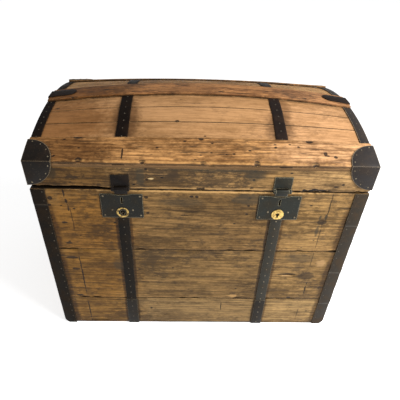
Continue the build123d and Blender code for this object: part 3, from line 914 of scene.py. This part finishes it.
def nail_heads(node, radius, height, material, dull_and_shaded_material):
    """Small domed heads, each of a slightly different size, some of them darker: painted shade on
    the body's left half, dull iron on others.
    """
    seats = nail_seats(node)
    bpy.ops.mesh.primitive_uv_sphere_add(segments=10, ring_count=8, radius=radius)
    model = added("nail_model")
    with edit_mode():
        bpy.ops.mesh.bisect(plane_co=(0, 0, 0), plane_no=(0, 0, 1), clear_inner=True,
                            use_fill=True)
    model.scale = (1, 1, height / radius)
    settle(model)
    dice = Random(5)
    heads = []
    for place, outward in seats:
        head = model.copy()
        head.data = model.data.copy()
        add_to_scene(head)
        size = dice.uniform(*nail_sizes)
        head.data.materials.append(dull_and_shaded_material if is_dull_or_shaded(node, place) else material)
        turn = outward.to_track_quat("Z", "Y").to_matrix().to_4x4()
        head.matrix_world = Matrix.Translation(place) @ turn @ Matrix.Scale(size, 4)
        heads.append(head)
    clear_bench(model)
    bpy.context.view_layer.update()
    whole = joined("heads_" + node, heads)
    settle(whole)
    hand_over(whole, node, None, 60)


# Ironwork

plate_edge = 0.0007
lap_cut = 0.0004
lap_step = 0.0012
lap_fade = 0.05
lid_strap_thickness = 2 * MM
lid_strap_cell = 0.0065
lid_strap_edge = 0.0005
lid_strap_waves = 0.003


def sheet_iron(node, material, edge=0.0005, cuts=(), waves=0.0, laps=(), feet=()):
    """A sheet of ironwork with eased edges, cut across so that it can wave and lap."""
    part = bench_copy(node, "iron_" + node)
    low, high = corners(part)
    with edit_mode():
        bpy.ops.mesh.dissolve_limited(angle_limit=radians(0.5))
    ease_edges(part, edge)
    places = [(axis, low[axis] + step_size * (count + 0.5)) for axis, step_size in cuts
              for count in range(int((high[axis] - low[axis]) / step_size))]
    places += [(2, lap + side * lap_cut) for lap in laps for side in (-1, 1)]
    places += [(2, foot) for foot in feet]
    with edit_mode():
        for axis, place in places:
            across = Vector(1 if axis == number else 0 for number in range(3))
            bpy.ops.mesh.select_all(action="SELECT")
            bpy.ops.mesh.bisect(plane_co=across * place, plane_no=across)
    if waves:
        hammer(part, waves * 3, "X")
        hammer(part, waves)
    for lap in laps:
        push(part, -lap_step, "Y", lambda point: max(0, 1 - (point.z - lap) / lap_fade)
             if point.z > lap else 0)
    if feet:
        round_foot(part)
    hand_over(part, node, material)


def bowed_iron(node, material):
    """A lid strap over the dome."""
    solid, = bench_solids(node)
    strap = bowed_board("iron_" + node, solid, lid_strap_thickness, lid_strap_cell)
    ease_edges(strap, lid_strap_edge)
    hammer(strap, lid_strap_waves, "X")
    clear_bench(solid)
    hand_over(strap, node, material)


# Where the corner irons are cut across so that their feet can bend, and where they lap
foot_cuts = (0.003, 0.0065, 0.01, 0.014, 0.018)
iron_laps = {"left": (0.545,), "right": (0.116, 0.276, 0.477)}
corner_shape = dict(cuts=((2, 0.012),), waves=0.0006, feet=foot_cuts)
strap_shape = dict(cuts=((2, 0.01),), waves=0.0007)
plate_shape = dict(edge=plate_edge, cuts=((0, 0.008), (2, 0.008)), waves=0.0005)


def ironwork():
    for side in ("left", "right"):
        sheet_iron("corner_iron_" + side, body_iron[side], laps=iron_laps[side], **corner_shape)
        sheet_iron("front_strap_" + side, strap_iron[side], **strap_shape)
        sheet_iron("foot_strap_" + side, foot_iron, edge=0.0008)
        sheet_iron("lock_plate_" + side, plate_iron[side], **plate_shape)
        sheet_iron("hasp_plate_" + side, hasp_iron[side])
        sheet_iron("hasp_" + side, hasp_iron[side])
        sheet_iron("lid_edge_iron_" + side, edge_iron[side])
        sheet_iron("corner_cap_front_" + side, cap_iron[side], edge=plate_edge)
        bowed_iron("lid_strap_" + side, lid_iron[side])
        for leaf in ("hinge_body_leaf_", "hinge_lid_leaf_"):
            sheet_iron(leaf + side, plain_iron)
    sheet_iron("corner_irons_back", plain_iron, **corner_shape)
    sheet_iron("back_straps", plain_iron, **strap_shape)
    sheet_iron("corner_cap_back_left", cap_iron["left"], edge=plate_edge)
    sheet_iron("ridge_caps", lid_iron["right"], edge=plate_edge)
    sheet_iron("handle_lugs", plain_iron)


# In millimetres
escutcheon_radius = 18.2
open_ring_bore = 12.2
small_key_bore = 5

# The small keyhole's tail: its size, and how far its middle lies below the bore's
small_key_tail = (0.0045, 0.02, 0.009)
small_key_drop = Vector((0, 0, 0.007))


def keyhole_rings():
    """Brass round the keyholes: a plain ring on the left, a disc with a small keyhole right."""
    node = "escutcheons"
    low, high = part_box(node)
    thickness = high.y - low.y
    rings = []
    for side, bore in ((-1, open_ring_bore), (1, small_key_bore)):
        middle = Vector((side * lock_x, (low.y + high.y) / 2, keyhole_height * MM))
        ring = round_bar(escutcheon_radius, thickness, middle, 48, "ring")
        cutters = [round_bar(bore, 0.02, middle, 36)]
        if side > 0:
            cutters.append(block(small_key_tail, middle - small_key_drop))
        cut_away(ring, cutters)
        ease_edges(ring, plate_edge, 3)
        coat(ring, old_brass if side > 0 else dull_brass)
        rings.append(ring)
    hand_over(joined("brass_rings", rings), node, None)


# Finishes

# Colours as seen, 0 to 255. The last three are multiplied by the wood's own colour: a warmer
# painted shade, painted light and painted shade.
GREY = (62, 55, 42)
PALE = (206, 164, 112)
BRIGHT = (214, 168, 106)
WARM_PAINTED_SHADE = (264, 242, 184)
PAINTED_LIGHT = (294, 296, 298)
PAINTED_SHADE = (193, 180, 150)


def spot(x, y, z, size, tint=KNOT, strength=0.9, ragged=0.8):
    """A mark at a place, in millimetres, with its reach."""
    return ((x * MM, y * MM, z * MM), tuple(s * MM for s in size), tint, strength, ragged, "MIX")


def tone(x, y, z, size, tint):
    """A broad place where the wood is darker, lighter or warmer: tint times its own colour."""
    return (*spot(x, y, z, size, tint, 0.9, 0.6)[:5], "MULTIPLY")


# In millimetres
mark_y = -316
marked_lock_x = 228


def front_spot(x, z, size, **how):
    """A mark on the front, with its reach across and up."""
    return spot(x, mark_y, z, (size[0], 9, size[1]), **how)


def front_spots(*places):
    """Small knots and holes of the front: x, z and reach, in millimetres."""
    return [front_spot(x, z, size) for x, z, *size in places]


def lid_spots(*places):
    """Small knots and holes of the lid: x, y, z and reach, in millimetres."""
    return [spot(x, y, z, (*size, 20)) for x, y, z, *size in places]


def split(x, z, size, strength=0.9):
    """A ragged split or worm track in the front."""
    return front_spot(x, z, size, strength=strength, ragged=2)


def front_tone(x, z, size, tint):
    return tone(x, mark_y, z, (size[0], 14, size[1]), tint)


def smear(x, z, size, strength, ragged=0.8):
    """A grey stain on the front."""
    return front_spot(x, z, size, tint=GREY, strength=strength, ragged=ragged)


def seam(z):
    """The dark line where two boards meet."""
    return front_spot(0, z, (1200, 2.6), tint=SEAM_AND_SHADOW, strength=0.8, ragged=0.35)


def wall_seams(x, y, reach):
    """The dark lines between a wall's courses."""
    return [spot(x, y, z, (*reach, 2.8), tint=SEAM_AND_SHADOW, strength=0.8, ragged=0.35)
            for z in (138, 369)]


def strap_shade(z, reach):
    """Painted shade, and dirt, on the wood beside the straps and corner irons."""
    sides = ((-208, 7, 170), (-249, 7, 160), (208, 8, 120), (248, 8, 180), (-441, 22, 150),
             (438, 18, 160))
    return [front_tone(x, z, (width, reach), (shade, shade * 0.94, shade * 0.86))
            for x, width, shade in sides]


def plate_shade(x):
    """The painted shadow beside and under a lock plate."""
    return [front_spot(x - 61, 542, (4.5, 48), tint=SEAM_AND_SHADOW, strength=0.75, ragged=0.4),
            front_spot(x, 499, (66, 5), tint=SEAM_AND_SHADOW, strength=0.6, ragged=0.4)]


def hasp_shade(x):
    """Painted shade behind a hasp's knuckles."""
    return front_spot(x, 607, (23, 9), tint=SEAM_AND_SHADOW, strength=1, ragged=0.1)


def stave_seam(y):
    """The dark line where two staves meet."""
    return spot(0, y, 740, (1500, 1.9, 130), tint=SEAM_AND_SHADOW, strength=0.75, ragged=0.3)


marks = {}
marks["front_board_upper"] = [
    *strap_shade(440, 150),
    *plate_shade(-marked_lock_x),
    *plate_shade(marked_lock_x),
    # Painted light on the right end, nearer the lamp, and darker, warmer painted shade on the left
    # end
    front_tone(350, 480, (170, 160), (312, 318, 326)),
    front_tone(-350, 440, (190, 220), WARM_PAINTED_SHADE),
    front_tone(0, 490, (210, 150), (246, 247, 250)),
    *front_spots((-432, 565, 9, 8), (-437, 541, 6, 5), (-405, 476, 10, 4), (-405, 394, 12, 4)),
    split(-391, 583, (3, 12)),
    front_spot(-388, 556, (5, 9), ragged=1.5),
    split(-385, 530, (3, 16)),
    split(-380, 490, (2, 60), 0.7),
    *front_spots((-28, 577, 7, 5), (-12, 576, 6, 5), (-158, 572, 7, 6), (-155, 516, 6, 5),
                 (139, 575, 5, 4), (139, 547, 5, 4), (137, 516, 5, 4)),
    front_spot(369, 490, (17, 12), strength=0.75),
    split(379, 550, (2, 56), 0.8),
    smear(360, 507, (5, 11), 0.8),
    smear(377, 509, (5, 14), 0.9),
    smear(361, 455, (7, 30), 0.7),
    split(372, 430, (2, 70), 0.6),
    smear(135, 570, (60, 26), 0.7, ragged=0.7),
    smear(-60, 556, (90, 20), 0.5, ragged=0.7),
    # Along the body's top edge: partly wear, partly a painted highlight
    front_spot(40, 593.5, (420, 4.5), tint=BRIGHT, strength=0.8, ragged=1.2),
    # Painted shade on the body's top edge inside the gap under the lid, deeper at the left end
    spot(0, -306, 598.5, (1400, 9, 3), tint=SEAM_AND_SHADOW, strength=1, ragged=0.1),
    spot(-480, -303, 598.5, (340, 24, 5), tint=SEAM_AND_SHADOW, strength=1, ragged=0.1),
    seam(369),
]
marks["front_board_middle"] = [
    *strap_shade(253, 200),
    # Painted light on the right end, nearer the lamp, and darker, warmer painted shade on the left
    # end
    front_tone(340, 200, (150, 140), PAINTED_LIGHT),
    front_tone(-350, 250, (190, 220), WARM_PAINTED_SHADE),
    front_spot(-407, 331, (26, 7), ragged=0.5),
    *front_spots((-401, 280, 15, 5), (-407, 150, 14, 6)),
    front_spot(-383, 250, (2.6, 115), ragged=1.6),
    # The gouge: painted shade in its hollow and a painted highlight on its lower lip
    front_spot(303, 262, (36, 7), strength=1, ragged=0.3),
    front_spot(302, 254, (26, 3), tint=PALE, strength=0.8, ragged=0.3),
    front_spot(368, 256, (34, 20), strength=0.6),
    split(378, 190, (3, 36)),
    split(372, 330, (2, 45), 0.6),
    front_spot(406, 316, (22, 20), tint=PALE, strength=0.5),
    smear(330, 340, (60, 26), 0.5),
    front_spot(328, 143, (8, 6)),
    smear(-260, 300, (24, 34), 0.5),
    front_spot(130, 152, (26, 9), tint=BRIGHT, strength=0.6, ragged=1.2),
    seam(369),
    seam(138),
]
marks["front_board_lower"] = [
    *strap_shade(70, 110),
    seam(138),
    # Painted light on the right end, nearer the lamp, and darker, warmer painted shade on the left
    # end
    front_tone(360, 70, (140, 120), PAINTED_LIGHT),
    front_tone(-350, 60, (190, 160), WARM_PAINTED_SHADE),
    front_spot(-384, 70, (2.6, 68), ragged=1.6),
    front_spot(-161, 83, (5, 5)),
    split(375, 60, (2, 40), 0.6),
    split(90, 95, (2, 24)),
    # Painted shadow along the bottom edge
    front_spot(0, 1, (1200, 5), tint=SEAM_AND_SHADOW, strength=0.7, ragged=0.4),
]
marks["back_boards"] = wall_seams(0, 316, (1200, 9))
marks["end_boards_left"] = wall_seams(-480, 0, (9, 1200))
marks["end_boards_right"] = wall_seams(480, 0, (9, 1200))
marks["lid_rail_front"] = [
    *front_spots((-155, 665, 5, 4), (-154, 632, 5, 4), (144, 636, 5, 4), (140, 608, 6, 4),
                 (398, 625, 5, 4), (380, 617, 8, 3), (144, 664, 6, 3)),
    split(-46, 606, (22, 5)),
    front_spot(-142, 635, (10, 3.5), tint=(240, 206, 146), strength=0.8),
    smear(146, 648, (40, 22), 0.7),
    smear(-412, 650, (22, 28), 0.8),
    smear(-171, 645, (16, 46), 0.7),
    # Painted shade, with dirt, on the rail's top under the slat's overhang
    smear(60, 668, (200, 12), 0.6),
    front_spot(-30, 605, (400, 3.5), tint=BRIGHT, strength=0.5, ragged=0.9),
    front_spot(0, 599, (1200, 3.2), tint=SEAM_AND_SHADOW, strength=0.9, ragged=0.9),
    # Painted shade in the gap where the rail lifts off the body, at both ends
    spot(-400, -302, 608, (320, 13, 6), tint=SEAM_AND_SHADOW, strength=1, ragged=0.1),
    front_spot(322, 602, (50, 8), tint=SEAM_AND_SHADOW, strength=1, ragged=1.5),
    hasp_shade(-marked_lock_x),
    hasp_shade(marked_lock_x),
    front_spot(-2, 602, (20, 7), tint=SEAM_AND_SHADOW, strength=0.9, ragged=1.5),
    # Painted light on the rail's right end, nearer the lamp, and painted shade on its left end
    front_tone(380, 640, (170, 70), (301, 307, 324)),
    front_tone(-390, 640, (200, 80), PAINTED_SHADE),
]
marks["lid_slat_front"] = [
    # Painted shade on the slat's left end and painted light on its right end, nearer the lamp
    tone(-430, -275, 695, (260, 90, 70), (194, 184, 166)),
    tone(380, -275, 695, (260, 90, 70), (277, 288, 326)),
    # Painted shade, with dirt, on the slat's front edge
    spot(0, mark_y, 680, (1400, 3, 5), tint=(66, 50, 32), strength=0.8, ragged=0.3),
    *lid_spots((-347, -232, 715, 14, 6), (-334, -308, 690, 12, 8), (-164, -310, 687, 11, 6),
               (-4, -234, 718, 9, 5), (2, -311, 686, 10, 6)),
    spot(-220, -286, 697, (3, 22, 20), ragged=0.6),
    *lid_spots((302, -234, 715, 12, 6), (341, -275, 700, 7, 8), (368, -285, 696, 6, 6),
               (308, -311, 687, 12, 7), (204, -257, 707, 6, 4), (148, -310, 688, 11, 9)),
    spot(0, -313, 689, (900, 7, 6), tint=(214, 162, 96), strength=0.5, ragged=1),
]
marks["lid_staves_front"] = [
    # Painted shade on the staves' left end and painted light on their right end, nearer the lamp
    tone(-430, -150, 725, (230, 150, 90), (206, 188, 160)),
    tone(380, -150, 725, (260, 150, 90), (282, 284, 296)),
    stave_seam(-164),
    stave_seam(-99.5),
    # Painted shade, and dirt, on the staves beside the lid straps
    tone(-222, -150, 735, (54, 150, 90), (158, 148, 136)),
    tone(228, -178, 730, (54, 100, 90), (164, 160, 156)),
    tone(252, -90, 745, (30, 70, 60), (190, 184, 178)),
    # Painted shade, with dirt, under the slat's front edge
    spot(0, mark_y, 670, (1400, 4, 9), tint=(84, 64, 40), strength=0.8, ragged=0.3),
    *lid_spots((-72, -162, 737, 8, 5), (-438, -84, 734, 9, 4)),
    spot(-34, -81, 759, (46, 2.5, 20), strength=0.7, ragged=1.5),
]
marks["lid_slat_ridge"] = [
    # Painted shade on the left end and painted light on the right end, nearer the lamp
    tone(-400, 0, 755, (260, 90, 70), (197, 183, 143)),
    tone(380, 0, 750, (220, 90, 70), (257, 264, 284)),
    *lid_spots((-300, 10, 760, 12, 5), (60, -22, 775, 9, 4), (210, 5, 770, 8, 4),
               (330, -20, 755, 10, 4)),
]

wall = dict(dark=(110, 80, 46), light=(176, 134, 84))
lid = dict(dark=(128, 92, 52), light=(196, 150, 98))
woods = {
    "front_board_upper": dict(dark=(84, 61, 30), light=(154, 117, 68), stained=0.4, holes=0.15),
    "front_board_middle": dict(dark=(87, 64, 32), light=(155, 120, 71), stained=0.4,
                               offset=(3.1, 0, 1.7)),
    "front_board_lower": dict(dark=(98, 74, 42), light=(160, 128, 81), stained=0.3,
                              offset=(5.3, 0, 0.6)),
    "back_boards": dict(wall, stained=0.7, offset=(8, 2, 0)),
    "end_boards_left": dict(wall, stained=0.6, offset=(2, 7, 1), turn=pi / 2),
    "end_boards_right": dict(wall, stained=0.6, offset=(4, 3, 2), turn=pi / 2),
    "lid_rail_front": dict(dark=(84, 62, 34), light=(166, 128, 78), stained=0.6, holes=0.35,
                           offset=(1.2, 0, 4)),
    "lid_rail_back": dict(dark=(108, 78, 42), light=(184, 138, 82), stained=0.9,
                          offset=(6, 0, 4)),
    "lid_slat_front": dict(dark=(108, 72, 36), light=(196, 144, 88), stained=0.3, holes=0.65,
                           offset=(0.4, 5, 0)),
    "lid_slat_ridge": dict(dark=(98, 62, 34), light=(180, 126, 76), stained=0.35,
                           offset=(2.4, 1, 0)),
    "lid_slat_back": dict(dark=(120, 86, 52), light=(178, 134, 90), stained=0.4,
                          offset=(3.4, 8, 0)),
    "lid_staves_front": dict(dark=(147, 107, 66), light=(184, 138, 92), stained=0.2, rings=0.2,
                             holes=0.05, worn=0.35, offset=(1.7, 2.2, 0)),
    "lid_stave_ridge": dict(lid, stained=0.25),
    "lid_staves_back": dict(lid, stained=0.3, offset=(4.7, 6.2, 0)),
}
materials = {node: pine("pine_" + node, marks=marks.get(node, ()), **how)
             for node, how in woods.items()}
lid_end_pine = pine("lid_end_pine", (112, 82, 46), (184, 138, 84), stained=0.5, turn=pi / 2,
                    offset=(6, 1, 3))
inner_pine = pine("inner_pine", (150, 118, 78), (196, 164, 118), stained=0.2, rings=0.5)

# Iron, rust and bare edge of each finish, lighter on the right, where the lamp is
shaded = dict(reach=0.0026, cover=0.03, specular=0.06)
lit = dict(reach=0.0026, cover=0.05)
plated = dict(reach=0.003, cover=0.12)
capped = dict(reach=0.003, patches=24, cover=0.15)
body_iron = {
    "left": iron("body_iron_left", (25, 20, 15), (40, 31, 22), (124, 106, 80), **shaded),
    "right": iron("body_iron_right", (50, 43, 34), (68, 54, 39), (150, 134, 106), **lit),
}
strap_iron = {
    "left": iron("strap_iron_left", (27, 24, 21), (38, 32, 26), (124, 106, 84), **shaded),
    "right": iron("strap_iron_right", (44, 42, 35), (56, 50, 40), (150, 136, 108), **lit),
}
plate_iron = {
    "left": iron("plate_iron_left", (26, 26, 22), (38, 34, 26), (160, 148, 118), **plated),
    "right": iron("plate_iron_right", (36, 38, 33), (46, 42, 33), (166, 156, 128), **plated),
}
hasp_iron = {
    "left": iron("hasp_iron_left", (24, 20, 18), (34, 27, 22), (120, 108, 88), specular=0.1),
    "right": plate_iron["right"],
}
lid_iron = {
    "left": iron("lid_iron_left", (20, 14, 11), (30, 21, 15), (90, 74, 56), specular=0.05),
    "right": iron("lid_iron_right", (29, 22, 19), (40, 29, 23), (104, 86, 66), specular=0.08),
}
cap_iron = {
    "left": iron("cap_iron_left", (22, 17, 13), (34, 25, 18), (160, 138, 106), **capped),
    "right": iron("cap_iron_right", (44, 40, 39), (52, 44, 38), (168, 150, 124), **capped),
}
edge_iron = {"left": lid_iron["left"], "right": cap_iron["right"]}
foot_iron = iron("foot_iron", (31, 26, 21), (43, 36, 28), (160, 146, 116), **plated)
plain_iron = iron("plain_iron")
nail_iron = iron("nail_iron", (124, 113, 92), (88, 76, 58), (180, 166, 136), reach=0.0006)
# Darker nails: painted shade on the body's left half, dull iron elsewhere
dull_and_shaded_nail_iron = iron("dull_and_shaded_nail_iron", (84, 77, 64), (56, 47, 37), (120, 108, 88), reach=0.0006)
old_brass = brass("old_brass", (216, 184, 108), (140, 112, 60))
dull_brass = brass("dull_brass", (186, 156, 92), (84, 68, 40))
finishes = {"body_pine": materials["end_boards_left"], "lid_pine": materials["lid_stave_ridge"],
            "inner_pine": inner_pine, "iron": plain_iron, "nail_iron": nail_iron,
            "brass": old_brass}

for node, part in nodes.items():
    across = node.startswith("lid_end_board")
    coat(part, lid_end_pine if across else finishes[node_slots[node]])

front_boards()
other_walls()
lid_rails()
lid_boards()
for node, radius in nail_radii.items():
    nail_heads(node, radius * MM, radius / 2 * MM, nail_iron, dull_and_shaded_nail_iron)
ironwork()
keyhole_rings()
clear_bench(*guides)
